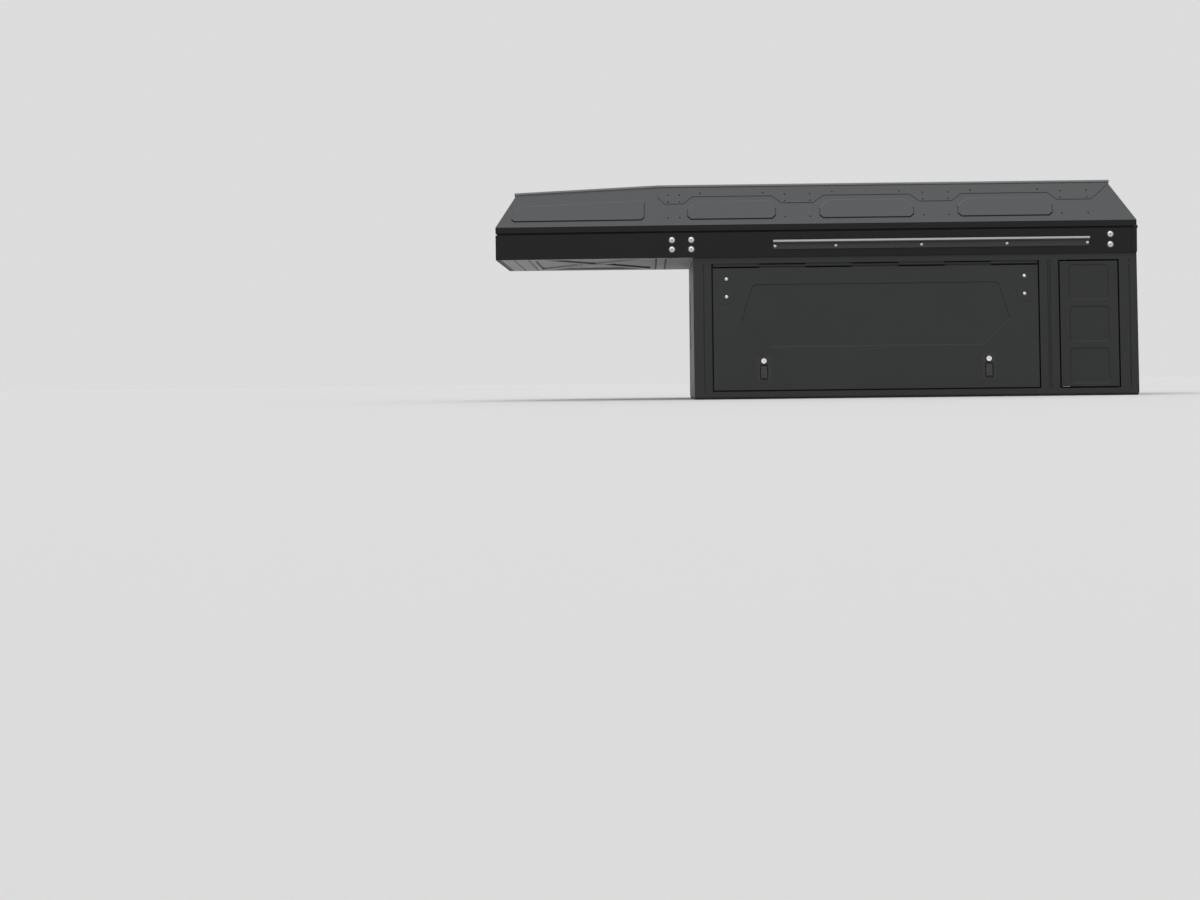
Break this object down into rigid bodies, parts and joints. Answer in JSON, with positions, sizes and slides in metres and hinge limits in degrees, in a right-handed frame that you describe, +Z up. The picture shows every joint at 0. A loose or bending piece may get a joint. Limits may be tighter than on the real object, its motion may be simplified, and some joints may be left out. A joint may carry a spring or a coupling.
{
  "type": "pickup canopy with a wedge roof tent",
  "caption": "Black pickup canopy with gullwing side doors and a wedge-opening hard-shell roof tent that reaches forward over the cab.",
  "frame": {"origin": "middle of the overall length and width, at the underside of the base gasket", "axes": "+X towards the vehicle's rear, +Y towards its right side, +Z up"},
  "size_m": [2.998, 1.6282, 0.998],
  "materials": {
    "frame_black": "satin fine-textured powder coat",
    "tent_black": "satin fine-textured powder coat",
    "lid_grey": "satin fine-textured powder coat",
    "seal_rubber": "matte",
    "latch_black": "matte moulded",
    "hinge_steel": "satin"
  },
  "bodies": {
    "canopy": {"base_gasket": "seal_rubber", "left_sill": "frame_black", "right_sill": "frame_black", "end_sills": "frame_black", "left_front_post": "frame_black", "left_centre_post": "frame_black", "left_rear_post": "frame_black", "right_front_post": "frame_black", "right_centre_post": "frame_black", "right_rear_post": "frame_black", "left_top_rail": "frame_black", "right_top_rail": "frame_black", "front_wall": "frame_black", "left_rear_panel": "frame_black", "right_rear_panel": "frame_black", "rear_header": "frame_black", "tent_left_side": "tent_black", "tent_right_side": "tent_black", "tent_front": "tent_black", "tent_rear": "tent_black", "nose_floor": "frame_black", "tent_floor": "frame_black", "awning_rails": "tent_black", "door_seals": "seal_rubber", "lid_seal": "seal_rubber", "fixed_hinges": "hinge_steel", "tent_latches": "tent_black"},
    "roof_lid": {"lid_top": "lid_grey", "lid_left_side": "lid_grey", "lid_right_side": "lid_grey", "lid_front": "lid_grey", "lid_rear": "lid_grey", "roof_laps": "lid_grey", "roof_edge_bars": "tent_black", "lid_hinge": "hinge_steel", "lid_catches": "tent_black"},
    "left_side_door": {"left_door": "frame_black", "left_door_hinge": "hinge_steel", "left_latch_trays": "latch_black"},
    "right_side_door": {"right_door": "frame_black", "right_door_hinge": "hinge_steel", "right_latch_trays": "latch_black"},
    "back_door": {"rear_door": "frame_black", "rear_door_hinge": "hinge_steel", "rear_latch_tray": "latch_black"},
    "left_front_latch": {"left_front_lever": "latch_black"},
    "left_rear_latch": {"left_rear_lever": "latch_black"},
    "right_front_latch": {"right_front_lever": "latch_black"},
    "right_rear_latch": {"right_rear_lever": "latch_black"},
    "rear_latch": {"rear_lever": "latch_black"}
  },
  "joints": [
    {"name": "lid_lift", "type": "hinge", "parent": "canopy", "child": "roof_lid", "pos_m": [-1.493, 0, 0.7745], "axis": [0, -1, 0], "range_deg": [0, 24]},
    {"name": "left_door_lift", "type": "hinge", "parent": "canopy", "child": "left_side_door", "pos_m": [0.2515, -0.75522, 0.61448], "axis": [-1, 0, 0], "range_deg": [0, 90]},
    {"name": "right_door_lift", "type": "hinge", "parent": "canopy", "child": "right_side_door", "pos_m": [0.2515, 0.75522, 0.61448], "axis": [1, 0, 0], "range_deg": [0, 90]},
    {"name": "rear_door_lift", "type": "hinge", "parent": "canopy", "child": "back_door", "pos_m": [1.449, 0, 0.615], "axis": [0, -1, 0], "range_deg": [0, 90]},
    {"name": "left_front_latch_pull", "type": "hinge", "parent": "left_side_door", "child": "left_front_latch", "pos_m": [-0.266, -0.79762, 0.14704], "axis": [-1, 0, 0], "range_deg": [0, 40], "stiffness_Nm_per_rad": 0.4},
    {"name": "left_rear_latch_pull", "type": "hinge", "parent": "left_side_door", "child": "left_rear_latch", "pos_m": [0.769, -0.79762, 0.14704], "axis": [-1, 0, 0], "range_deg": [0, 40], "stiffness_Nm_per_rad": 0.4},
    {"name": "right_front_latch_pull", "type": "hinge", "parent": "right_side_door", "child": "right_front_latch", "pos_m": [-0.266, 0.79762, 0.14704], "axis": [1, 0, 0], "range_deg": [0, 40], "stiffness_Nm_per_rad": 0.4},
    {"name": "right_rear_latch_pull", "type": "hinge", "parent": "right_side_door", "child": "right_rear_latch", "pos_m": [0.769, 0.79762, 0.14704], "axis": [1, 0, 0], "range_deg": [0, 40], "stiffness_Nm_per_rad": 0.4},
    {"name": "rear_latch_pull", "type": "hinge", "parent": "back_door", "child": "rear_latch", "pos_m": [1.4505, 0, 0.148], "axis": [0, -1, 0], "range_deg": [0, 40], "stiffness_Nm_per_rad": 0.4}
  ]
}
